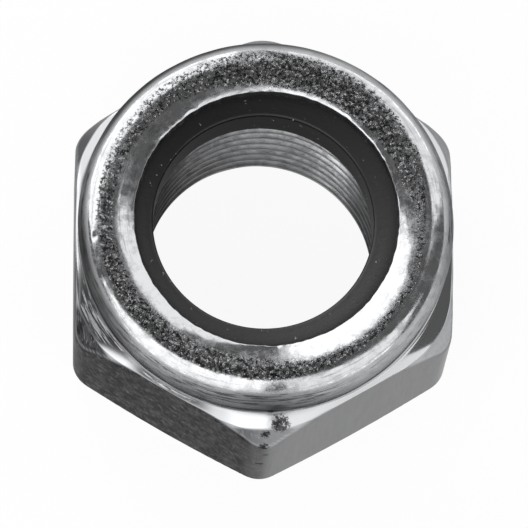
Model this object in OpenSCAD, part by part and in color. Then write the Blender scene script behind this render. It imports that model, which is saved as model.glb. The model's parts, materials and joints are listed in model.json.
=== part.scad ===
// Hexagon lock nut with a nylon ring held under a rolled collar
// Millimetres, +Z up, resting on its bearing face, which is at z = 0
// The bore is at the thread's minor diameter: the helical thread isn't cut here

/* [Hexagon] */
// Width across two opposite flats
across_flats = 30; // [30:0.5:36]
// Height of the middle of a flat, from the bearing face
flat_h = 13.4; // [12:0.1:14.4]
// Radius of the six vertical edges
edge_r = 2.2; // [0.6:0.1:3]
// How far the bearing circle lies inside the flats
bearing_inset = 0.75; // [0.3:0.05:1.5]
// Angle of the chamfer below the bearing circle
bearing_angle = 26; // [15:1:35]
// Slope of the shoulder round the collar
shoulder_angle = 20; // [8:1:28]
// How far the shoulder ends inside the sharp corners
corner_inset = 1.37; // [0.8:0.05:2.2]
// Slope of the worn-off corner below the shoulder
corner_angle = 60; // [45:1:70]

/* [Thread] */
// Major diameter of the thread
thread_d = 20; // [18:0.5:20.5]
// Pitch of the thread
thread_pitch = 1.5; // [1:0.25:2.5]
// Height of the threaded steel, which is also the ring's seat
thread_h = 13.5; // [12.8:0.1:14.5]
// How far the countersink's mouth is outside the thread, all round
mouth_clear = 0.35; // [0.1:0.05:0.9]
// Half angle of that countersink, from its axis
mouth_angle = 47; // [35:1:60]
// Depth of the run-out chamfer below the ring's seat
runout_h = 0.8; // [0.3:0.1:1.2]

/* [Collar] */
// Thickness of the rolled flange over the ring, at the crest of the collar
flange_t = 1.3; // [1.1:0.05:1.8]
// Wall of the collar around the ring
collar_wall = 1.6; // [1.2:0.05:1.7]
// Outer radius of the bend that rolls the collar over
bend_r = 2.1; // [1.8:0.05:2.3]
// Lean of the collar's outer wall
wall_lean = 6; // [0:0.5:8]
// Radius of the flange's low crown, from the crest to the lip
crown_r = 6.4; // [5:0.1:12]
// How far the lip stays clear of a bolt's thread, all round
lip_clear = 0.35; // [0.1:0.05:0.8]
// Rounding of the lip's upper edge
lip_r = 0.25; // [0.1:0.05:0.35]

/* [Locking ring] */
// Outer diameter of the nylon ring
ring_d = 26.4; // [25:0.1:26.6]
// How far the ring reaches inside the thread's major radius, to grip a bolt
ring_grip = 1.3; // [1:0.05:1.7]
// Thickness of the nylon ring
ring_h = 3.8; // [3.4:0.1:4]
// Rounding of the ring's bore edges
ring_edge_r = 0.25; // [0.1:0.05:0.5]
// Clearance all round the ring in its recess
ring_fit = 0.05; // [0:0.01:0.1]

/* [Hidden] */
$fn = 120;

// A cut passes this far beyond the face that it starts from
cut_over = 1;
// The collar is rooted this far down in the hexagon
collar_root = 3;
// The inside of the rolled bend is never sharper than this
least_bend_r = 0.1;
// Curves that would only touch cross by this much, so that they meet in a clean edge
curve_bite = 0.005;

// Hexagon
half_flats = across_flats / 2;
corner_reach = half_flats / cos(30);
bearing_r = half_flats - bearing_inset;
shoulder_r = corner_reach - corner_inset;
shoulder_end_z = flat_h - (shoulder_r - half_flats) * tan(shoulder_angle);
blank_r = corner_reach + cut_over;

// Thread: height of the sharp triangle, and how much of it an inner thread keeps
sharp_share = sqrt(3) / 2;
kept_share = 5 / 8;
minor_r = thread_d / 2 - thread_pitch * sharp_share * kept_share;
runout_r = thread_d / 2;
mouth_r = thread_d / 2 + mouth_clear;
mouth_h = (mouth_r - minor_r) / tan(mouth_angle);

// Locking ring and its recess
ring_bore_r = thread_d / 2 - ring_grip;
recess_r = ring_d / 2 + ring_fit;
recess_top_z = thread_h + ring_h;
inner_bend_r = max(bend_r - collar_wall, least_bend_r);
total_h = recess_top_z + flange_t;

// Collar
collar_r = recess_r + collar_wall;
bend_x = collar_r - bend_r;
bend_z = total_h - bend_r;
wall_top_x = bend_x + bend_r * cos(wall_lean) - curve_bite;
wall_top_z = bend_z - bend_r * sin(wall_lean);
root_z = flat_h - collar_root;
root_x = wall_top_x - (wall_top_z - root_z) * tan(wall_lean);
crown_z = total_h - crown_r;
lip_x = thread_d / 2 + lip_clear;
lip_round_x = lip_x + lip_r;
lip_reach = crown_r - lip_r + curve_bite;
lip_angle = asin((bend_x - lip_round_x) / lip_reach);
lip_round_z = crown_z + lip_reach * cos(lip_angle);

// A hexagon with flats to the left and right and round corners
module rounded_hexagon(half, radius) {
    inner = half - radius;
    inner_corner = inner / cos(30);
    side = inner * tan(30);
    rotate(30) circle(r = inner_corner, $fn = 6);
    for (turn = [0:60:300]) rotate(turn) {
        translate([inner - radius, -side]) square([2 * radius, 2 * side]);
        rotate(30) translate([inner_corner, 0]) circle(r = radius);
    }
}

// Half section of the turned envelope that trims the hexagon's corners
module hexagon_envelope() {
    polygon([
        [0, 0],
        [bearing_r, 0],
        [blank_r, (blank_r - bearing_r) * tan(bearing_angle)],
        [blank_r, shoulder_end_z - (blank_r - shoulder_r) * tan(corner_angle)],
        [shoulder_r, shoulder_end_z],
        [0, shoulder_end_z + shoulder_r * tan(shoulder_angle)]
    ]);
}

// Half section of the collar, filled to the axis, with its rolled bend
module collar_section() {
    polygon([
        [0, root_z],
        [root_x, root_z],
        [wall_top_x, wall_top_z],
        [bend_x, bend_z],
        [0, bend_z]
    ]);
    translate([bend_x, bend_z]) circle(r = bend_r);
    intersection() {
        translate([bend_x, crown_z]) circle(r = crown_r);
        translate([0, root_z]) square([bend_x, total_h - root_z]);
    }
}

// Half section of a disc whose upper outer edge is round
module disc_section(radius, low, high, round) {
    translate([0, low]) square([radius - round, high - low]);
    translate([0, low]) square([radius, high - low - round]);
    translate([radius - round, high - round]) circle(r = round);
}

// Corner left beside a round edge, to be cut away
module edge_waste(round) {
    difference() {
        translate([-round, 0]) square([2 * round, 2 * round]);
        translate([round, 0]) circle(r = round);
    }
}

// Upper edge of the lip, cut to a round that meets the crowned flange
module lip_waste() {
    translate([lip_round_x, lip_round_z]) difference() {
        polygon([
            [-2 * lip_r, 0],
            [0, 0],
            [-lip_r * sin(lip_angle), lip_r * cos(lip_angle)],
            [-2 * lip_r, 2 * lip_r]
        ]);
        circle(r = lip_r);
    }
}

module nut_body() {
    color("silver") difference() {
        union() {
            intersection() {
                linear_extrude(total_h) rounded_hexagon(half_flats, edge_r);
                rotate_extrude() hexagon_envelope();
            }
            rotate_extrude() collar_section();
        }
        // Recess of the ring, and the opening in the lip above it
        rotate_extrude() disc_section(recess_r, thread_h, recess_top_z, inner_bend_r);
        translate([0, 0, recess_top_z - inner_bend_r])
            cylinder(r = lip_x, h = total_h - recess_top_z + inner_bend_r + cut_over);
        rotate_extrude() lip_waste();
        // Bore at the minor diameter, its countersink and its run-out
        translate([0, 0, -cut_over])
            cylinder(r = minor_r, h = thread_h + 2 * cut_over);
        translate([0, 0, -cut_over])
            cylinder(
                r1 = mouth_r + cut_over * tan(mouth_angle),
                r2 = minor_r,
                h = mouth_h + cut_over
            );
        translate([0, 0, thread_h - runout_h])
            cylinder(r1 = minor_r, r2 = runout_r, h = runout_h);
    }
}

module locking_ring() {
    color("dimgray") difference() {
        rotate_extrude() disc_section(ring_d / 2, thread_h, recess_top_z, inner_bend_r);
        translate([0, 0, thread_h - cut_over])
            cylinder(r = ring_bore_r, h = ring_h + 2 * cut_over);
        rotate_extrude() translate([ring_bore_r, recess_top_z - ring_edge_r])
            edge_waste(ring_edge_r);
        rotate_extrude() translate([ring_bore_r, thread_h + ring_edge_r])
            mirror([0, 1]) edge_waste(ring_edge_r);
    }
}

nut_body();
locking_ring();
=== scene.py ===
# %% [markdown]
# A hexagon lock nut, seen from above
# The object is one steel nut with a black nylon ring inside its round collar. The steel was formed
# from bar, tapped with a fine thread, plated with zinc and then rolled over the ring, so that the
# ring can't come out. This notebook dresses the measured solids of that nut: it makes a finer steel
# body with its thread, a finer ring, the plating and the nylon, and a small white studio.

# %% Load the measured solids
import json
import math

import bmesh
import bpy
from mathutils import Matrix, Vector, noise

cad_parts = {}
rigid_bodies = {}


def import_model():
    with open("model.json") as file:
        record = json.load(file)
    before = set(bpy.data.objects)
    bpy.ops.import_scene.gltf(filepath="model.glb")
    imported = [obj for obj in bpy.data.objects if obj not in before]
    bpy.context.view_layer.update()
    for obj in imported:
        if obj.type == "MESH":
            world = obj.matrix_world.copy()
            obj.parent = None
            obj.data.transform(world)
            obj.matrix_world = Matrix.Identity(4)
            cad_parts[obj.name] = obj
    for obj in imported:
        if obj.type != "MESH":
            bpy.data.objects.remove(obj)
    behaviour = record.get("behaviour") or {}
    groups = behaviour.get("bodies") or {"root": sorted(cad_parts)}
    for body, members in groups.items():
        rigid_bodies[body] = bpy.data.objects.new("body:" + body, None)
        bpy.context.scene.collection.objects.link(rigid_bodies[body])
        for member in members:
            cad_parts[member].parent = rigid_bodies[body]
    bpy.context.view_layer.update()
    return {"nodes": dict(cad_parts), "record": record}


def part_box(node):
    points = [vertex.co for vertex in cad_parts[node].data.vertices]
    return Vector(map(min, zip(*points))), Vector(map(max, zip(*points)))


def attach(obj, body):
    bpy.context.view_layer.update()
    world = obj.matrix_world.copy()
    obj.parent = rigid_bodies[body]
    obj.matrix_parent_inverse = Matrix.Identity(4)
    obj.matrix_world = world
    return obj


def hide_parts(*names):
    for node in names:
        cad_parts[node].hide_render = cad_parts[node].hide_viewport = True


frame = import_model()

print("nodes:", sorted(frame["nodes"]))

# %% [markdown]
# Sizes
# Everything is built in metres, because the solids are, but a nut is thought of in millimetres. So
# the sizes below are millimetres, and one factor turns them into metres at the very end of each
# piece. What the solids already say, such as the width across flats, is read from them.

# %% Sizes of the nut in millimetres
MM = 0.001
nut_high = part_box("nut_body")[1] / MM
ring_low, ring_high = [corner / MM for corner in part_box("locking_ring")]
mounts = {mount["name"]: mount for mount in frame["record"]["mounts"]}

HALF_FLATS = nut_high.x
TOP = nut_high.z
RING_R = ring_high.x
SEAT = ring_low.z
RING_TOP = ring_high.z
MINOR_R = mounts["thread"]["dims"]["r_mm"]
PITCH = 1.5
# a metric thread is five eighths of its sharp triangle deep
MAJOR_R = MINOR_R + PITCH * math.sqrt(3) / 2 * 5 / 8
print(f"across flats {2 * HALF_FLATS:.1f} mm, height {TOP:.2f} mm")
print(f"thread {2 * MAJOR_R:.1f} x {PITCH} mm")

# %% [markdown]
# The camera
# The photograph looks down on the nut steeply, a little from its left, with a long lens. Three
# angles place the camera, and the lens follows from how many pixels of the 528 pixel wide picture
# one millimetre covers. The camera looks at the point that puts the middle of the bearing face on
# its own pixel, so no lens shift is needed.

# %% Camera at the photograph's angle
PICTURE = 528
SENSOR = 36.0
ELEVATION = math.radians(73.8)
AZIMUTH = math.radians(-8.1)
ROLL = math.radians(8.3)
# millimetres, and pixels of the picture
DISTANCE = 500.0
PIXELS_PER_MM = 12.29
FOOT_PIXEL = Vector((257.5, 281.3))

towards_camera = Vector((
    math.sin(AZIMUTH) * math.cos(ELEVATION),
    -math.cos(AZIMUTH) * math.cos(ELEVATION),
    math.sin(ELEVATION),
))
level_right = Vector((math.cos(AZIMUTH), math.sin(AZIMUTH), 0))
level_up = towards_camera.cross(level_right)
picture_right = math.cos(ROLL) * level_right + math.sin(ROLL) * level_up
picture_up = math.cos(ROLL) * level_up - math.sin(ROLL) * level_right

off_centre = (Vector((PICTURE / 2, PICTURE / 2)) - FOOT_PIXEL) / PIXELS_PER_MM
aim = off_centre.x * picture_right - off_centre.y * picture_up
position = towards_camera * DISTANCE
backwards = (position - aim).normalized()
sideways = picture_up.cross(backwards).normalized()
upwards = backwards.cross(sideways)

camera_data = bpy.data.cameras.new("camera")
camera_data.sensor_width = SENSOR
camera_data.lens = SENSOR * PIXELS_PER_MM * DISTANCE / PICTURE
camera_data.clip_start = 0.01
camera = bpy.data.objects.new("camera", camera_data)
bpy.context.scene.collection.objects.link(camera)
facing = Matrix((sideways, upwards, backwards)).transposed().to_4x4()
camera.matrix_world = Matrix.Translation(position * MM) @ facing
bpy.context.scene.camera = camera
print(f"lens {camera_data.lens:.0f} mm, {DISTANCE:.0f} mm from the nut")

# %% [markdown]
# Building materials from nodes
# A material is a small network of nodes. One function adds a node with its settings and its
# inputs: an input that is another node's output becomes a link, and anything else is a value.
# Colours are written as on a colour card, in sRGB hex, and turned to the linear light that the
# renderer counts in.

# %% Node and colour helpers
def linear(code):
    """The linear RGBA colour of an sRGB hex code such as #C0C2C4."""
    channels = [int(code[start:start + 2], 16) / 255 for start in (1, 3, 5)]
    return (*(c / 12.92 if c <= 0.04045 else ((c + 0.055) / 1.055) ** 2.4 for c in channels), 1)


def add(tree, kind, settings=None, inputs=None):
    """Adds a node. Settings are its attributes, inputs its sockets by name or number."""
    new = tree.nodes.new("ShaderNode" + kind)
    for name, value in (settings or {}).items():
        setattr(new, name, value)
    for key, value in (inputs or {}).items():
        if isinstance(value, bpy.types.NodeSocket):
            tree.links.new(value, new.inputs[key])
        else:
            new.inputs[key].default_value = value
    return new


def new_material(name):
    """A material with an empty network and its output node."""
    material = bpy.data.materials.new(name)
    material.use_nodes = True
    material.node_tree.nodes.clear()
    return material, material.node_tree, add(material.node_tree, "OutputMaterial")


# %% [markdown]
# The studio
# Polished metal shows its surroundings, so the studio is planned from what the nut reflects. Four
# large soft panels stand round it, two in front and two behind, the left ones brighter. The gap
# overhead, from side to side, and a narrower one behind, right of the middle, stay dark, and they
# draw the dark bands on the collar. The paper under the nut bends up into a low round wall.

# %% White paper under and around the nut
# radius and height in mm, from the middle outwards
PAPER_SECTION = [(0, 0), (700, 0), (1100, 0), (1200, 14), (1260, 60), (1300, 150), (1310, 340)]
PAPER_STEPS = 96
WHITE_SHARE = 0.93


def white_paper():
    """Matt white paper, most of whose shade is lifted to pure white for the eye and for mirrors."""
    material, tree, output = new_material("matt_white_paper")
    light = add(tree, "LightPath").outputs
    seen = light["Is Camera Ray"]
    for ray in ("Is Glossy Ray", "Is Transmission Ray"):
        seen = add(tree, "Math", {"operation": "MAXIMUM"}, {0: seen, 1: light[ray]}).outputs[0]
    share = add(tree, "Math", {"operation": "MULTIPLY"}, {0: seen, 1: WHITE_SHARE})
    matt = add(tree, "BsdfDiffuse", None, {"Color": linear("#F6F6F6")})
    lifted = add(tree, "Emission", None, {"Color": linear("#FFFFFF"), "Strength": 1.0})
    mixed = add(tree, "MixShader", None, {
        0: share.outputs[0], 1: matt.outputs[0], 2: lifted.outputs[0],
    })
    tree.links.new(mixed.outputs[0], output.inputs["Surface"])
    return material


paper = bmesh.new()
points = [paper.verts.new((radius, 0, height)) for radius, height in PAPER_SECTION]
chain = points + [paper.edges.new(pair) for pair in zip(points, points[1:])]
bmesh.ops.spin(
    paper, geom=chain, axis=(0, 0, 1), cent=(0, 0, 0), dvec=(0, 0, 0),
    angle=math.tau, steps=PAPER_STEPS, use_merge=True, use_duplicate=False,
)
bmesh.ops.remove_doubles(paper, verts=paper.verts, dist=0.01)
bmesh.ops.recalc_face_normals(paper, faces=paper.faces)
bmesh.ops.reverse_faces(paper, faces=paper.faces)
bmesh.ops.scale(paper, vec=(MM, MM, MM), verts=paper.verts)
for face in paper.faces:
    face.smooth = True
floor_mesh = bpy.data.meshes.new("studio_paper")
paper.to_mesh(floor_mesh)
paper.free()
floor_mesh.materials.append(white_paper())
floor = bpy.data.objects.new("studio_paper", floor_mesh)
bpy.context.scene.collection.objects.link(floor)
print("paper:", len(floor_mesh.polygons), "faces")

# %% Soft panels and a dim room
PANELS = {
    # name: (direction from the front, near and far edge from the vertical, ends in mm, brightness)
    "front_left": (-6, 17.5, 77, -820, 56, 1.85),
    "front_right": (8, 18.5, 78, 22, 560, 1.30),
    "back_left": (-172, 22.5, 80, -45, 820, 1.85),
    "back_right": (-160, 5, 76, -1500, -218, 1.30),
}
PANEL_REACH = 560.0


def soft_panel(name, direction, near, far, start, end, brightness):
    """A flat, evenly lit panel that leans over the nut, square to a direction."""
    turn = math.radians(direction)
    outward = Vector((math.sin(turn), -math.cos(turn), 0))
    along = Vector((math.cos(turn), math.sin(turn), 0))
    edges = []
    for angle in (near, far):
        tilt = math.radians(angle)
        edges.append((outward * math.sin(tilt) + Vector((0, 0, math.cos(tilt)))) * PANEL_REACH)
    middle = (edges[0] + edges[1]) / 2 + along * (start + end) / 2
    upward = (edges[0] - edges[1]).normalized()
    away = along.cross(upward)
    if away.dot(middle) < 0:
        along = -along
        away = -away
    data = bpy.data.lights.new(name, "AREA")
    data.shape = "RECTANGLE"
    data.size = (end - start) * MM
    data.size_y = (edges[0] - edges[1]).length * MM
    data.energy = brightness * math.pi * data.size * data.size_y
    panel = bpy.data.objects.new(name, data)
    bpy.context.scene.collection.objects.link(panel)
    facing = Matrix((along, upward, away)).transposed().to_4x4()
    panel.matrix_world = Matrix.Translation(middle * MM) @ facing
    panel.visible_camera = False


for name, settings in PANELS.items():
    soft_panel(name, *settings)

room = bpy.data.worlds.new("dim_room")
room.use_nodes = True
room.node_tree.nodes["Background"].inputs["Color"].default_value = linear("#6F6F6F")
bpy.context.scene.world = room
bpy.context.scene.view_settings.view_transform = "Standard"
print("panels:", ", ".join(PANELS))

# %% [markdown]
# Turned shapes
# Nearly everything on this nut was turned, rolled or tapped, so each piece starts as a half section
# that is spun round the axis. A section is a chain of points, radius and height, which the next
# helpers string together from arcs and straight runs. The spin makes 360 columns, a quarter of a
# millimetre apart on the collar, so small dents can be real shape.

# %% Helpers for turned sections
COLUMNS = 360


def arc(centre, radius, start, end, steps):
    """Points on an arc from one angle to another, in degrees, without the last one."""
    angles = [math.radians(start + (end - start) * step / steps) for step in range(steps)]
    return [(centre[0] + radius * math.cos(a), centre[1] + radius * math.sin(a)) for a in angles]


def run(start, end, steps):
    """Points on a straight line, without the last one."""
    return [tuple(a + (b - a) * step / steps for a, b in zip(start, end)) for step in range(steps)]


def spin_section(points, closed=False, rise=0):
    """Spins a half section once round the axis. With a rise per turn it becomes a screw."""
    bm = bmesh.new()
    verts = [bm.verts.new((radius, 0, height)) for radius, height in points]
    edges = [bm.edges.new(pair) for pair in zip(verts, verts[1:])]
    if closed:
        edges.append(bm.edges.new((verts[-1], verts[0])))
    bmesh.ops.spin(
        bm, geom=verts + edges, axis=(0, 0, 1), cent=(0, 0, 0), dvec=(0, 0, rise / COLUMNS),
        angle=math.tau, steps=COLUMNS, use_merge=not rise, use_duplicate=False,
    )
    return bm


def soft_step(low, high, value):
    """0 below low, 1 above high, and smooth between."""
    share = min(max((value - low) / (high - low), 0), 1)
    return share * share * (3 - 2 * share)


def turn_of(point):
    """Radius and angle in degrees, from 0 to 360, of a point round the axis."""
    return math.hypot(point.x, point.y), math.degrees(math.atan2(point.y, point.x)) % 360


# %% [markdown]
# The steel's outer section
# It starts at the ring's seat, goes up the recess and round the lip, over the low crown of the
# rolled collar, down its leaning wall, through the small hollow at the collar's foot to the sloping
# shoulder, past the worn corners, and over the bearing face to the mouth of the bore. The hexagon
# isn't cut yet: this is the round blank.

# %% Half section of the round blank
RING_FIT = 0.05
WALL = 1.6
BEND = 2.1
INNER_BEND = BEND - WALL
WALL_LEAN = 6
CROWN = 6.4
LIP_R = MAJOR_R + 0.35
LIP_ROUND = 0.25
FLAT_H = 13.4
SHOULDER_ANGLE = 20
CORNER_INSET = 1.37
CORNER_ANGLE = 60
BEARING_INSET = 0.75
BEARING_ANGLE = 26
MOUTH_R = MAJOR_R + 0.35
MOUTH_ANGLE = 47
BLANK_OVER = 0.4
HOLLOW = 0.45
lean, slope = math.radians(WALL_LEAN), math.radians(SHOULDER_ANGLE)


def tangent(degrees):
    """The tangent of an angle in degrees."""
    return math.tan(math.radians(degrees))


corner_r = HALF_FLATS / math.cos(math.radians(30))
shoulder_r = corner_r - CORNER_INSET
bearing_r = HALF_FLATS - BEARING_INSET
blank_r = corner_r + BLANK_OVER
recess_r = RING_R + RING_FIT
bend_centre = (recess_r + WALL - BEND, TOP - BEND)
crown_centre = (bend_centre[0], TOP - CROWN)
lip_reach = CROWN - LIP_ROUND
lip_angle = math.degrees(math.asin((bend_centre[0] - LIP_R - LIP_ROUND) / lip_reach))
lip_height = crown_centre[1] + lip_reach * math.cos(math.radians(lip_angle))
lip_centre = (LIP_R + LIP_ROUND, lip_height)
wall_top = (bend_centre[0] + BEND * math.cos(lean), bend_centre[1] - BEND * math.sin(lean))
cone_z = FLAT_H + HALF_FLATS * tangent(SHOULDER_ANGLE)
foot_r = wall_top[0] - (wall_top[1] - cone_z) * tangent(WALL_LEAN)
foot_r /= 1 + tangent(SHOULDER_ANGLE) * tangent(WALL_LEAN)
foot = (foot_r, cone_z - foot_r * tangent(SHOULDER_ANGLE))
wall_out = Vector((math.cos(lean), -math.sin(lean)))
shoulder_up = Vector((math.sin(slope), math.cos(slope)))
hollow_centre = Vector(foot) + HOLLOW / (1 + wall_out.dot(shoulder_up)) * (wall_out + shoulder_up)
hollow_start = hollow_centre - HOLLOW * wall_out
hollow_end = hollow_centre - HOLLOW * shoulder_up
shoulder_end = (shoulder_r, cone_z - shoulder_r * tangent(SHOULDER_ANGLE))
corner_end = (blank_r, shoulder_end[1] - (blank_r - shoulder_r) * tangent(CORNER_ANGLE))
chamfer_end = (blank_r, (blank_r - bearing_r) * tangent(BEARING_ANGLE))

blank = run((MAJOR_R, SEAT), (recess_r, SEAT), 3)
blank += run((recess_r, SEAT), (recess_r, RING_TOP - INNER_BEND), 2)
blank += arc((recess_r - INNER_BEND, RING_TOP - INNER_BEND), INNER_BEND, 0, 90, 3)
blank += run((recess_r - INNER_BEND, RING_TOP), (LIP_R, RING_TOP), 3)
blank += run((LIP_R, RING_TOP), (LIP_R, lip_centre[1]), 4)
blank += arc(lip_centre, LIP_ROUND, 180, 90 + lip_angle, 6)
blank += arc(crown_centre, CROWN, 90 + lip_angle, 90, 16)
blank += arc(bend_centre, BEND, 90, -WALL_LEAN, 28)
blank += run(wall_top, hollow_start, 14)
blank += arc(hollow_centre, HOLLOW, 180 - WALL_LEAN, 270 - SHOULDER_ANGLE, 10)
blank += run(hollow_end, shoulder_end, 15)
blank += run(shoulder_end, corner_end, 16)
blank += run(corner_end, chamfer_end, 12)
blank += run(chamfer_end, (bearing_r, 0), 14)
blank += run((bearing_r, 0), (MOUTH_R, 0), 4)
blank += [(MOUTH_R, 0)]
print(f"blank: {len(blank)} points, collar {2 * (recess_r + WALL):.1f} mm across")

# %% [markdown]
# Pressing the six flats
# Each column of points knows its direction, and so how far away the hexagon's side lies there: a
# straight flat, or the round of a vertical edge. Points of the blank that stick out further are
# drawn in to that line at their own height. A soft minimum instead of a hard one leaves the rounded
# arrises of a formed nut, wider over the flats, where they are worn. The shoulder's curved edge over
# each flat comes by itself.

# %% Spin the blank and press the flats
EDGE_ROUND = 2.2
ARRIS = 0.35
WORN_ARRIS = 1.1
WORN_HEIGHTS = (12.0, 12.8)
SHOULDER_LEFT = 0.1
TOUCH = 0.01
FLAT_SHARE = math.degrees(math.atan((HALF_FLATS - EDGE_ROUND) * tangent(30) / HALF_FLATS))


def hexagon_reach(degrees):
    """Distance from the axis to the round-cornered hexagon in a direction."""
    from_flat = (degrees + 30) % 60 - 30
    if abs(from_flat) < FLAT_SHARE:
        return HALF_FLATS / math.cos(math.radians(from_flat))
    from_corner = math.radians(30 - abs(from_flat))
    centre = (HALF_FLATS - EDGE_ROUND) / math.cos(math.radians(30))
    beside = centre * math.sin(from_corner)
    return centre * math.cos(from_corner) + math.sqrt(EDGE_ROUND ** 2 - beside ** 2)


def soft_least(first, second, width):
    """The smaller of two lengths, with a soft change from one to the other."""
    near = max(width - abs(first - second), 0) / width
    return min(first, second) - near * near * width / 4


body = spin_section(blank)
pressed = 0
for vert in body.verts:
    radius, degrees = turn_of(vert.co)
    if radius > foot_r - TOUCH and vert.co.z < hollow_start.y + TOUCH:
        reach = hexagon_reach(degrees)
        worn = min(max(reach - foot_r - SHOULDER_LEFT, ARRIS), WORN_ARRIS)
        width = ARRIS + (worn - ARRIS) * soft_step(*WORN_HEIGHTS, vert.co.z)
        share = soft_least(radius, reach, width) / radius
        vert.co = (vert.co.x * share, vert.co.y * share, vert.co.z)
        pressed += radius > reach
print(f"{pressed} of {len(body.verts)} points pressed onto the flats")

# %% [markdown]
# The thread
# An M20 x 1.5 thread is a groove that climbs 1.5 mm per turn. Its section is drawn turn after turn
# and spun once with a rise of one pitch, so every row follows the helix and the turns meet. The
# ends are then trimmed as a tap and a countersink leave them: nothing below the bearing face,
# nothing above the ring's seat, open at the mouth and running out under the ring.

# %% Screw surface of the bore
RUN_OUT = 0.8
MERGE = 0.002
SHORTEST_EDGE = 0.001
DEPTH = MAJOR_R - MINOR_R
ONE_TURN = [
    # share of the pitch, share of the depth
    (0.000, 0.06), (0.045, 0.0), (0.205, 0.0), (0.250, 0.06), (0.340, 0.34), (0.440, 0.67),
    (0.540, 0.94), (0.590, 1.0), (0.660, 1.0), (0.710, 0.94), (0.810, 0.67), (0.910, 0.34),
]
turns = math.ceil(SEAT / PITCH) + 2
screw = [
    (MINOR_R + depth * DEPTH, (turn - 1 + height) * PITCH)
    for turn in range(turns) for height, depth in ONE_TURN
]
thread = spin_section(screw, rise=PITCH)
for vert in thread.verts:
    height = min(max(vert.co.z, 0), SEAT)
    radius, degrees = turn_of(vert.co)
    opening = MOUTH_R - height / tangent(MOUTH_ANGLE)
    fading = MAJOR_R - (SEAT - height) / RUN_OUT * DEPTH
    share = max(radius, opening, fading) / radius
    vert.co = (vert.co.x * share, vert.co.y * share, height)
thread_mesh = bpy.data.meshes.new("thread_part")
thread.to_mesh(thread_mesh)
thread.free()
body.from_mesh(thread_mesh)
bpy.data.meshes.remove(thread_mesh)
bmesh.ops.remove_doubles(body, verts=body.verts, dist=MERGE)
bmesh.ops.dissolve_degenerate(body, edges=body.edges, dist=SHORTEST_EDGE)
bmesh.ops.recalc_face_normals(body, faces=body.faces)
open_edges = sum(len(edge.link_faces) != 2 for edge in body.edges)
print(f"thread: {turns} turns; body: {len(body.faces)} faces, {open_edges} open edges")

# %% [markdown]
# Unevenness of formed steel
# A rolled collar is never a perfect turned shape. Slow noise pushes the surface in by a few
# hundredths of a millimetre, which is enough to bend the reflections, and a few knocks against
# other nuts leave small dents. All of it goes inwards only, so the nut keeps its measured size.

# %% Noise and dents
DENTS = [
    # direction, distance from the axis, height, size and depth
    (187.3, 13.6, 18.4, 0.32, 0.05), (183.5, 12.8, 18.5, 0.26, 0.09), (204, 13.7, 18.3, 0.45, 0.012),
    (333, 12.7, 18.5, 0.25, 0.03), (297, 14.2, 17.9, 0.35, 0.03),
]
# height, length and seed of each wave in the surface
COLLAR_WAVES = [(0.024, 2.6, 3), (0.008, 1.1, 11)]
HEXAGON_WAVES = [(0.008, 6.0, 5)]


def wave(point, scale, seed):
    """Smooth noise between -1 and 1, one bump per so many millimetres."""
    return noise.noise(Vector(point) / scale + Vector((seed, 7.3 * seed, 1.7)))


def sunk(point, waves):
    """How far waves press a point inwards: 0 at their tops, and negative below."""
    return sum(high * (wave(point, long, seed) - 1) for high, long, seed in waves)


def round_point(degrees, radius, height):
    """A point by its direction, its distance from the axis and its height."""
    turn = math.radians(degrees)
    return Vector((radius * math.cos(turn), radius * math.sin(turn), height))


print(len(DENTS), "dents,", len(COLLAR_WAVES + HEXAGON_WAVES), "waves")

# %% Press the unevenness into the steel
body.normal_update()
shifts = {}
for vert in body.verts:
    radius, degrees = turn_of(vert.co)
    z = vert.co.z
    if radius < MAJOR_R + 0.2 or z < 0.2 or (radius < recess_r + 0.1 and z < RING_TOP + 0.02):
        continue
    rolled = soft_step(FLAT_H - 0.3, FLAT_H + 0.2, z)
    depth = sunk(vert.co, COLLAR_WAVES) * rolled + sunk(vert.co, HEXAGON_WAVES) * (1 - rolled)
    for direction, far, high, wide, deep in DENTS:
        away = (vert.co - round_point(direction, far, high)).length
        depth -= deep * (1 - soft_step(0, wide, away))
    shifts[vert] = vert.normal * depth
for vert, shift in shifts.items():
    vert.co += shift
print(f"{len(shifts)} points moved, by up to {max(shift.length for shift in shifts.values()):.3f} mm")

# %% [markdown]
# The ragged lip
# The lip is where the steel ended when it was rolled over the ring, and an edge that is stretched
# like that frays a little. It wanders in and out along the whole lip, with finer teeth at the edge.

# %% Ragged lip
WANDER, WANDER_LONG = 0.035, 1.9
TEETH, TEETH_LONG = 0.05, 0.45
LIP_ZONE = (LIP_R + 0.1, LIP_R + 0.7)
TEETH_ZONE = (LIP_R + 0.1, LIP_R + 0.35)
ragged_points = 0
for vert in body.verts:
    radius, degrees = turn_of(vert.co)
    if radius < LIP_ZONE[1] and vert.co.z > RING_TOP - TOUCH:
        on_lip = round_point(degrees, LIP_R, 0)
        ragged = WANDER * wave(on_lip, WANDER_LONG, 21) * (1 - soft_step(*LIP_ZONE, radius))
        ragged += TEETH * wave(on_lip, TEETH_LONG, 23) * (1 - soft_step(*TEETH_ZONE, radius))
        share = (radius + ragged) / radius
        vert.co = (vert.co.x * share, vert.co.y * share, vert.co.z)
        ragged_points += 1
print(ragged_points, "points of the lip moved")

# %% [markdown]
# Handing a piece over
# Each finished mesh is scaled to metres, shaded smooth and given its materials. Its object stays at
# the origin, rides on the one body that a nut has, and stands for the solid of the same part.

# %% Finish a piece
def finish_piece(bm, name, node, slot, *materials):
    """Scales a mesh from millimetres to metres and puts it in the place of its node."""
    bmesh.ops.scale(bm, vec=(MM, MM, MM), verts=bm.verts)
    for face in bm.faces:
        face.smooth = True
    mesh = bpy.data.meshes.new(name)
    bm.to_mesh(mesh)
    bm.free()
    for material in materials:
        mesh.materials.append(material)
    piece = bpy.data.objects.new(name, mesh)
    bpy.context.scene.collection.objects.link(piece)
    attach(piece, "root")
    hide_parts(node)
    triangles = sum(len(polygon.vertices) - 2 for polygon in mesh.polygons)
    print(f"{name}: {triangles} triangles")


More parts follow.
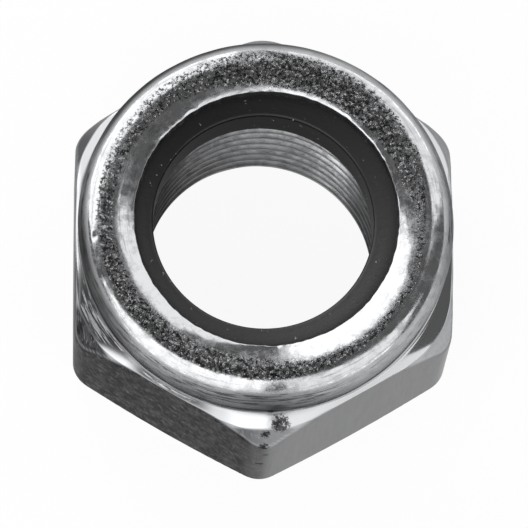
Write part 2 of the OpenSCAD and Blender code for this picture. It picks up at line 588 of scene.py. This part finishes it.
# %% [markdown]
# Patterns for the finishes
# Three patterns are enough for plating and plastic. Spots are noise that is cut off at a level: a
# mask that was painted on the mesh raises or lowers the noise, so there are more spots where the
# mask is high. Layers of colour lie over each other, each where its own pattern is strong. Sums
# add patterns up, for roughness and relief.

# %% Spots, layers and sums
def spots(tree, vector, scale, mask, low, high, detail, roughness):
    """Noise under a painted mask, 0 below the low level and 1 above the high one."""
    cloud = add(tree, "TexNoise", None, {
        "Vector": vector, "Scale": scale, "Detail": detail, "Roughness": roughness,
    })
    where = add(tree, "Attribute", {"attribute_name": mask})
    masked = add(tree, "Math", {"operation": "MULTIPLY"}, {
        0: cloud.outputs["Fac"], 1: where.outputs["Fac"],
    })
    return add(tree, "MapRange", None, {0: masked.outputs[0], 1: low, 2: high}).outputs[0]


def colour_layers(tree, colour, layers):
    """Lays colours over a first one. A layer is its pattern, its strength and its colour."""
    for pattern, strength, code in layers:
        share = add(tree, "Math", {"operation": "MULTIPLY"}, {0: pattern, 1: strength})
        # sockets 6 and 7 are the colours A and B of a Mix node, and output 2 is its colour
        mix = add(tree, "Mix", {"data_type": "RGBA"}, {
            0: share.outputs[0], 6: colour, 7: linear(code),
        })
        colour = mix.outputs[2]
    return colour


def pattern_sum(tree, total, parts):
    """Adds patterns to a first value. A part is its pattern and its amount."""
    for pattern, amount in parts:
        summed = add(tree, "Math", {"operation": "MULTIPLY_ADD"}, {0: pattern, 1: amount, 2: total})
        total = summed.outputs[0]
    return total


def place_in_mm(tree):
    """The place on the piece in millimetres, from its Object coordinates."""
    place = add(tree, "TexCoord")
    in_mm = add(tree, "VectorMath", {"operation": "SCALE"}, {
        0: place.outputs["Object"], "Scale": 1 / MM,
    })
    return in_mm.outputs[0]


# %% [markdown]
# Directions of the marks
# The collar was turned and rolled, so its streaks run round the nut: their noise changes fast along
# the section and slowly with the direction. The left front flat was dragged over something rough,
# so its marks are short dashes along one slanting line on that flat. All flats were drawn through a
# die from below, which leaves faint upright lines.

# %% Coordinates for streaks, dashes and upright lines
DASH_LENGTHWISE = (0.40, -0.23, -0.65)
DASH_CROSSWISE = (3.5, -2.0, 2.9)
UPRIGHT_STRETCH = (3.0, 3.0, 0.25)
# how fast the streaks change: across themselves per mm, along themselves per radian
ACROSS_STREAKS = 3.2
ALONG_STREAKS = 3.4


def streak_place(tree, in_mm):
    """Coordinates for streaks that run round the nut, and the distance from the axis."""
    flat = add(tree, "VectorMath", {"operation": "MULTIPLY"}, {0: in_mm, 1: (1, 1, 0)}).outputs[0]
    radius = add(tree, "VectorMath", {"operation": "LENGTH"}, {0: flat}).outputs["Value"]
    direction = add(tree, "VectorMath", {"operation": "NORMALIZE"}, {0: flat}).outputs[0]
    height = add(tree, "SeparateXYZ", None, {0: in_mm}).outputs["Z"]
    section = add(tree, "Math", {"operation": "SUBTRACT"}, {0: height, 1: radius}).outputs[0]
    fast = add(tree, "Math", {"operation": "MULTIPLY"}, {0: section, 1: ACROSS_STREAKS}).outputs[0]
    upright = add(tree, "CombineXYZ", None, {"Z": fast}).outputs[0]
    slow = add(tree, "VectorMath", {"operation": "SCALE"}, {0: direction, "Scale": ALONG_STREAKS})
    place = add(tree, "VectorMath", {"operation": "ADD"}, {0: slow.outputs[0], 1: upright})
    return place.outputs[0], radius


def dash_place(tree, in_mm):
    """Coordinates that stretch noise to dashes on the left front flat."""
    along, across = [
        add(tree, "VectorMath", {"operation": "DOT_PRODUCT"}, {0: in_mm, 1: line}).outputs["Value"]
        for line in (DASH_LENGTHWISE, DASH_CROSSWISE)
    ]
    return add(tree, "CombineXYZ", None, {"X": along, "Y": across}).outputs[0]


# %% [markdown]
# Bright zinc plating
# The steel got its colour in a zinc bath under current. The layer is only about 0.008 mm thick, so
# it follows what lies below it: a mirror where the tool left the steel smooth, dark pits on the
# crown where rolling stretched it, streaks on the turned wall, and a dull, rougher grey. Its dark
# colour is painted shade, darkest on the left flats and corners, in the shoulder's crease and on the
# left of the bore. To the eye that is a bright metal with soft black grain.
#
# Zinc is a metal, so metallic is 1, the IOR stays as it is and the base colour is the shine. Its
# roughness is 0.09 where bright and 0.44 where dull, and 0.2 more in pits and in the bore. A worn
# layer doesn't flare up at the rim as a clean mirror does, so the specular tint is a middle grey.
# Real pits are about 0.1 mm wide and real hairlines 0.02 mm. Both are drawn two or three times as
# coarse, so that they show at twelve pixels per millimetre.

# %% Patterns and layers of the zinc
BRIGHT = "#C2C3C5"
# the dark grey of the dull layer, which is painted shade on the left flats, corners, shoulder and
# bore, and also the colour of the streaks on the turned wall
TARNISH_AND_SHADE = "#2A2A2B"
ZINC_PATTERNS = {
    # pits and dots are on the crown, lines on the collar's wall, arcs of bright plating through the
    # painted shade on the shoulder, rings and frost on rolled steel and in the bore, and scratch,
    # drawn and mottle on the flats
    # name: (place, scale, mask, low level, high level, detail, roughness), as spots() takes them
    "pits": ("mm", 3.8, "grain", 0.44, 0.53, 5.0, 0.80),
    "dots": ("mm", 3.4, "grain", 0.56, 0.60, 3.0, 0.80),
    "fine": ("mm", 6.0, "grain", 0.0, 1.0, 3.0, 0.60),
    "lines": ("streaks", 1.7, "turned", 0.49, 0.56, 4.0, 0.72),
    "arcs": ("streaks", 2.2, "shaded_shoulder", 0.50, 0.58, 4.0, 0.70),
    "rings": ("streaks", 1.3, "rolled", 0.50, 0.64, 5.0, 0.75),
    "frost": ("mm", 1.1, "rolled", 0.42, 0.64, 6.0, 0.75),
    "scratch": ("dashes", 1.4, "scratched", 0.555, 0.615, 5.0, 0.80),
    "drawn": ("uprights", 1.0, "scratched", 0.36, 0.60, 5.0, 0.70),
    "mottle": ("mm", 0.9, "scratched", 0.45, 0.62, 4.0, 0.70),
    "smudge": ("mm", 4.0, "smudge", 0.36, 0.42, 5.0, 0.80),
}
ZINC_LAYERS = [
    # pattern, strength and colour, from the lowest layer to the top one
    # the first layer is painted shade with duller plating, darkest on the left flats, corners,
    # shoulder and bore
    ("dull_and_shade", 1.0, TARNISH_AND_SHADE), ("frost", 0.28, "#6E6F70"), ("rings", 0.40, "#48484A"),
    ("pits", 0.95, "#161617"), ("lines", 0.75, TARNISH_AND_SHADE), ("mottle", 0.25, "#8A8A8C"),
    ("drawn", 0.13, "#38383A"), ("scratch", 0.85, "#98999B"), ("arcs", 0.80, BRIGHT),
    ("smudge", 0.90, "#161616"),
]
ZINC_RELIEF = [("fine", 1.2), ("dots", 2.5), ("coarse", 0.4), ("lines", -1.0), ("pits", -0.3)]
ZINC_RELIEF_MM = 0.004
BRIGHT_ROUGHNESS = 0.09
DULL_ROUGHNESS = 0.35
MATT_ROUGHNESS = 0.2
print(f"zinc: {len(ZINC_PATTERNS)} patterns, {len(ZINC_LAYERS)} layers of colour")


# %% Zinc plating
def zinc_patterns(tree):
    """Every pattern of the plating by name, and how far a place lies in the bore."""
    in_mm = place_in_mm(tree)
    streaks, radius = streak_place(tree, in_mm)
    uprights = add(tree, "VectorMath", {"operation": "MULTIPLY"}, {0: in_mm, 1: UPRIGHT_STRETCH})
    places = {
        "mm": in_mm, "streaks": streaks, "dashes": dash_place(tree, in_mm),
        "uprights": uprights.outputs[0],
    }
    patterns = {
        name: spots(tree, places[place], *settings)
        for name, (place, *settings) in ZINC_PATTERNS.items()
    }
    # the mask of painted shade and duller, rougher plating
    patterns["dull_and_shade"] = add(tree, "Attribute", {"attribute_name": "dull_and_shade"}).outputs["Fac"]
    coarse = add(tree, "TexNoise", None, {
        "Vector": in_mm, "Scale": 2.2, "Detail": 2.0, "Roughness": 0.5,
    })
    patterns["coarse"] = coarse.outputs["Fac"]
    in_bore = add(tree, "MapRange", None, {0: radius, 1: LIP_R + 0.15, 2: LIP_R - 0.05})
    return patterns, in_bore.outputs[0]


def zinc_plating():
    """Bright zinc on formed steel: mirror-like, pitted on the crown, streaked where turned."""
    material, tree, output = new_material("bright_zinc_plated_steel")
    patterns, in_bore = zinc_patterns(tree)
    colour = colour_layers(tree, linear(BRIGHT), [
        (patterns[name], strength, code) for name, strength, code in ZINC_LAYERS
    ])
    matt = add(tree, "Math", {"operation": "MAXIMUM"}, {0: patterns["pits"], 1: patterns["frost"]})
    rough = pattern_sum(tree, BRIGHT_ROUGHNESS, [
        (patterns["dull_and_shade"], DULL_ROUGHNESS), (matt.outputs[0], MATT_ROUGHNESS),
        (in_bore, MATT_ROUGHNESS),
    ])
    relief = pattern_sum(tree, 0.0, [(patterns[name], amount) for name, amount in ZINC_RELIEF])
    bump = add(tree, "Bump", None, {
        "Strength": 1.0, "Distance": ZINC_RELIEF_MM * MM, "Height": relief,
    })
    metal = add(tree, "BsdfPrincipled", None, {
        "Base Color": colour, "Metallic": 1.0, "Roughness": rough, "Normal": bump.outputs[0],
        "Specular Tint": (0.5, 0.5, 0.5, 1.0),
    })
    tree.links.new(metal.outputs[0], output.inputs["Surface"])
    print(f"{material.name}: {len(tree.nodes)} nodes")
    return material


# %% [markdown]
# Where the plating is dull or shaded
# Painted shade darkens the flats and the corners on the left nearly black, the shoulder's crease on
# the left front and the left of the bore, and a bright patch in the bore at about 50 degrees is a
# painted highlight. The flats on the right are satin grey, the collar's wall is darker and duller in
# some directions, and the crown is pitted all round. The tables give each mask by direction, in
# degrees round the nut, and the values between two entries follow smoothly.

# %% Dullness and painted shade by direction
# painted shade: the flats on the left are darkened nearly black, the ones on the right less
FLAT_SHADE_AND_DULL = {
    0: 0.4, 24: 0.4, 60: 0.45, 120: 0.55, 155: 0.6, 180: 0.8, 205: 0.9, 214: 0.99, 264: 0.99,
    269: 0.8, 273: 0.45, 280: 0.42, 330: 0.4, 360: 0.4,
}
# painted shade: the worn corners on the left and at the front are darkened
CORNER_SHADE_AND_DULL = {
    0: 0.3, 140: 0.4, 152: 0.8, 180: 0.7, 210: 1.0, 240: 0.9, 264: 0.75, 272: 0.5, 300: 0.3,
    330: 0.25, 360: 0.3,
}
# painted shade in the shoulder's crease, darkest on the left front
SHOULDER_SHADE = {
    0: 0.1, 180: 0.3, 200: 0.93, 216: 0.93, 230: 0.9, 248: 0.85, 256: 0.3, 263: 0.0, 280: 0.0,
    300: 0.2, 330: 0.1, 360: 0.1,
}
WALL_DULL = {
    0: 0.55, 30: 0.5, 60: 0.35, 90: 0.8, 110: 0.9, 140: 0.95, 165: 0.6, 190: 0.95, 210: 0.75,
    230: 0.25, 250: 0.35, 270: 0.7, 290: 0.25, 310: 0.12, 330: 0.2, 350: 0.55, 360: 0.55,
}
# painted shade and highlight in the bore: darker elsewhere, most on the left, and a bright patch at
# about 50 degrees
BORE_SHADE_AND_HIGHLIGHT = {
    0: 0.75, 30: 0.6, 50: 0.1, 68: 0.4, 90: 0.38, 120: 0.5, 150: 0.8, 180: 0.8, 360: 0.75,
}


def from_table(table, degrees):
    """A value between the table's entries on either side of a direction."""
    low = max(angle for angle in table if angle <= degrees)
    high = min(angle for angle in table if angle > degrees)
    share = soft_step(low, high, degrees)
    return table[low] * (1 - share) + table[high] * share


print("flat at the front left, shade", from_table(FLAT_SHADE_AND_DULL, 240))

# %% Pits and smudges
CREST_PITS = {
    0: 0.92, 60: 1.0, 90: 0.97, 120: 0.92, 150: 0.93, 180: 0.97, 210: 1.0, 270: 1.0, 290: 0.97,
    330: 0.93, 360: 0.92,
}
CREST_START = {
    0: 11.4, 18: 10.6, 60: 10.4, 90: 10.4, 115: 11.0, 135: 11.4, 180: 11.7, 210: 11.6, 225: 11.3,
    265: 11.2, 290: 11.8, 330: 11.9, 360: 11.4,
}
CREST_END = {
    0: 12.4, 30: 13.0, 60: 13.3, 90: 13.4, 180: 13.2, 270: 13.1, 300: 12.9, 330: 12.6, 360: 12.4,
}
SMUDGES = [
    # direction, distance from the axis, height and size
    (-85.4, 15.5, 13.3, 0.85), (-89.8, 16.3, 12.7, 0.5), (-88.0, 14.6, 13.9, 0.4),
    (-90.0, 16.8, 11.4, 0.5), (-89.2, 16.8, 9.2, 0.45), (-90.6, 16.8, 6.5, 0.5),
    (-59, 14.4, 15.6, 0.3),
]
SMUDGE_REACH = 2.6


def smudge_at(point):
    """1 in the middle of a smudge, falling to 0 at SMUDGE_REACH times its size."""
    return max(
        1 - soft_step(0, SMUDGE_REACH * size, (point - round_point(direction, far, high)).length)
        for direction, far, high, size in SMUDGES
    )


print(len(SMUDGES), "smudges")

# %% [markdown]
# Painting the masks
# A mask is a number on every point of the mesh, between 0 and 1, that the finish reads by name.
# Which region a point is in follows from its distance from the axis, its height and how close it
# is to the hexagon's sides: flat, worn corner, shoulder, wall of the collar, crest or bore.

# %% Regions of the steel
# where each region starts and is full, in mm: from the axis (_R), or up from the bearing face
OUTSIDE_R = (MAJOR_R + 0.3, MAJOR_R + 0.5)
SIDE_SKIN = (0.04, 0.25)
FLAT_FOOT = (0.2, 0.6)
FLAT_TOP = (13.2, 13.4)
ABOVE_BEARING = (0.6, 1.0)
CORNER_R = (15.75, 15.95)
SHOULDER_R = (14.2, 14.5)
SHOULDER_TOP = (13.5, 13.7)
WALL_R = (13.9, 14.5)
WALL_FOOT = (13.3, 13.7)
ROLLED_FOOT = (13.5, 13.9)
CREST_FOOT = (17.0, 17.8)
FOOT_SHADE_R = (14.9, 15.5)
LEAST_GRAIN = 0.04


def window(start, end, soft, value):
    """1 between two values and 0 outside them, with soft sides."""
    return soft_step(start - soft, start, value) * (1 - soft_step(end, end + soft, value))


print(f"flats up to {FLAT_TOP[0]} mm, crest from {CREST_FOOT[0]} mm")


# %% Masks of one point

def masks_of(point):
    """The masks of the plating at a point of the steel."""
    radius, degrees = turn_of(point)
    z = point.z
    inside_edge = hexagon_reach(degrees) - radius
    outside = soft_step(*OUTSIDE_R, radius)
    above = soft_step(*ABOVE_BEARING, z)
    on_side = 1 - soft_step(*SIDE_SKIN, abs(inside_edge))
    flat = on_side * (1 - soft_step(*FLAT_TOP, z)) * soft_step(*FLAT_FOOT, z)
    corner = soft_step(*CORNER_R, radius) * (1 - on_side) * above
    shoulder = soft_step(*SHOULDER_R, radius) * (1 - soft_step(*SHOULDER_TOP, z))
    shoulder *= (1 - flat) * (1 - corner) * above
    wall = soft_step(*WALL_R, radius) * soft_step(*WALL_FOOT, z)

    start, end = from_table(CREST_START, degrees), from_table(CREST_END, degrees)
    crest = soft_step(start - 0.2, start + 0.5, radius) * (1 - soft_step(end, end + 1.0, radius))
    crest *= soft_step(*CREST_FOOT, z)
    inner_band = 1 - soft_step(start - 0.3, start + 0.3, radius)
    clean = 0.14 * inner_band * window(200, 345, 10, degrees)

    # painted shade in the shoulder's crease at the collar's foot, most on the left front and round
    # 150 degrees, left off the arris below about 227 degrees
    arris_width = 0.6 + 0.7 * soft_step(211, 217, degrees)
    on_arris = 1 - soft_step(0.15, arris_width, inside_edge)
    bright_arris = (1 - soft_step(223, 231, degrees)) * on_arris
    foot_shade = 0.85 * (1 - soft_step(*FOOT_SHADE_R, radius)) * window(140, 168, 10, degrees)
    shoulder_shade_share = shoulder * max(from_table(SHOULDER_SHADE, degrees), foot_shade) * (1 - bright_arris)
    return {
        "grain": LEAST_GRAIN + (from_table(CREST_PITS, degrees) - LEAST_GRAIN) * crest,
        "turned": wall * (1 - 0.15 * window(296, 345, 12, degrees)),
        "shaded_shoulder": 1.1 * shoulder_shade_share,
        "rolled": max(outside * soft_step(*ROLLED_FOOT, z) * (1 - clean), 1 - outside),
        "scratched": max(flat, corner) * (0.86 + 0.14 * window(175, 268, 8, degrees)),
        "smudge": smudge_at(point),
        # painted shade together with duller, rougher plating, darkest on the left
        "dull_and_shade": max(
            flat * from_table(FLAT_SHADE_AND_DULL, degrees),
            corner * from_table(CORNER_SHADE_AND_DULL, degrees),
            wall * from_table(WALL_DULL, degrees),
            (1 - outside) * from_table(BORE_SHADE_AND_HIGHLIGHT, degrees),
            shoulder_shade_share,
        ),
    }


# %% Paint and finish the steel
mask_layers = {name: body.verts.layers.float.new(name) for name in masks_of(Vector((0, 0, 0)))}
for vert in body.verts:
    for name, value in masks_of(vert.co).items():
        vert[mask_layers[name]] = value
print("masks:", ", ".join(mask_layers))
finish_piece(body, "steel_nut", "nut_body", "plated_steel", zinc_plating())

# %% [markdown]
# The nylon ring
# The black ring in the collar is what locks the nut. Its bore is smaller than the thread, so a bolt
# has to press its own thread into the nylon, which then grips it. It was cut from a tube and
# dropped on its seat before the lip was rolled over it. The lip holds it down at the rim, so its
# top sags towards the bore, and it lies a little off the middle. The section is spun once round.

# %% Turn the ring
RING_BORE = MAJOR_R - 1.3
RING_EDGE = 0.25
RING_BORE_SKIN = 0.08
RING_TOP_SKIN = 0.5
SAG = 0.2
OFF_MIDDLE = 0.22
OFF_MIDDLE_FADE = (9.0, 12.0)
# the direction, front right, where the painted light on the nylon is strongest
LIGHTEST_SIDE = 295

section = run((RING_BORE, SEAT + RING_EDGE), (RING_BORE, RING_TOP - RING_EDGE), 10)
section += arc((RING_BORE + RING_EDGE, RING_TOP - RING_EDGE), RING_EDGE, 180, 90, 6)
section += run((RING_BORE + RING_EDGE, RING_TOP), (LIP_R, RING_TOP), 10)
section += run((LIP_R, RING_TOP), (RING_R - INNER_BEND, RING_TOP), 6)
section += arc((RING_R - INNER_BEND, RING_TOP - INNER_BEND), INNER_BEND, 90, 0, 4)
section += run((RING_R, RING_TOP - INNER_BEND), (RING_R, SEAT), 4)
section += run((RING_R, SEAT), (RING_BORE + RING_EDGE, SEAT), 8)
section += arc((RING_BORE + RING_EDGE, SEAT + RING_EDGE), RING_EDGE, 270, 180, 5)
ring = spin_section(section, closed=True)
bmesh.ops.remove_doubles(ring, verts=ring.verts, dist=MERGE)
# painted light: the ring is painted lighter towards the front right and darker at the back
worn_layer = ring.verts.layers.float.new("worn")
for vert in ring.verts:
    radius, degrees = turn_of(vert.co)
    vert[worn_layer] = 0.5 + 0.5 * math.cos(math.radians(degrees - LIGHTEST_SIDE))
    vert.co.x -= OFF_MIDDLE * (1 - soft_step(*OFF_MIDDLE_FADE, radius))
    if vert.co.z > RING_TOP - RING_TOP_SKIN:
        vert.co.z -= SAG * (1 - soft_step(RING_BORE, LIP_R, radius))
bmesh.ops.recalc_face_normals(ring, faces=ring.faces)
open_edges = sum(len(edge.link_faces) != 2 for edge in ring.edges)
print(f"ring: {len(ring.faces)} faces, {open_edges} open edges")

# %% [markdown]
# Black nylon
# Nylon is a tough plastic with a faint silky shine: it isn't a metal, and its roughness is about
# 0.35 where it was pressed smooth. Towards the front right its colour goes from black to dark grey,
# which is painted light. The wall of the bore was cut, so it is matt and hardly shines. Specks of
# dust, up to 0.1 mm in reality, are drawn twice as coarse.

# %% Nylon
DARK_SIDE_NYLON = "#121213"
DUST = "#B4B4B0"
DUST_LEVELS = (0.66, 0.69)


def black_nylon(name, colour, roughness, shine):
    """Black nylon with a faint grain, grey towards the front right as painted light, and a few specks
    of dust.
    """
    material, tree, output = new_material(name)
    in_mm = place_in_mm(tree)
    grain, dust = [
        add(tree, "TexNoise", None, {
            "Vector": in_mm, "Scale": scale, "Detail": detail, "Roughness": fineness,
        })
        for scale, detail, fineness in ((2.5, 4.0, 0.6), (1.7, 5.0, 0.8))
    ]
    low, high = DUST_LEVELS
    specks = add(tree, "MapRange", None, {0: dust.outputs["Fac"], 1: low, 2: high})
    # painted light: grey towards the front right, black at the back
    worn = add(tree, "Attribute", {"attribute_name": "worn"})
    shade = colour_layers(tree, linear(DARK_SIDE_NYLON), [
        (worn.outputs["Fac"], 1.0, colour), (specks.outputs[0], 1.0, DUST),
    ])
    bump = add(tree, "Bump", None, {
        "Strength": 1.0, "Distance": 0.02 * MM, "Height": grain.outputs["Fac"],
    })
    plastic = add(tree, "BsdfPrincipled", None, {
        "Base Color": shade, "Roughness": roughness, "Normal": bump.outputs[0],
        "Specular IOR Level": shine,
    })
    tree.links.new(plastic.outputs[0], output.inputs["Surface"])
    return material


# %% Finish the ring
for face in ring.faces:
    middle = face.calc_center_median() + Vector((OFF_MIDDLE, 0, 0))
    face.material_index = int(turn_of(middle)[0] < RING_BORE + RING_BORE_SKIN)
finish_piece(
    ring, "nylon_ring", "locking_ring", "nylon",
    # the greys of the painted light on the top and on the bore
    black_nylon("black_nylon", "#323233", 0.35, 0.35),
    black_nylon("matt_black_nylon", "#2A2A2B", 0.6, 0.05),
)
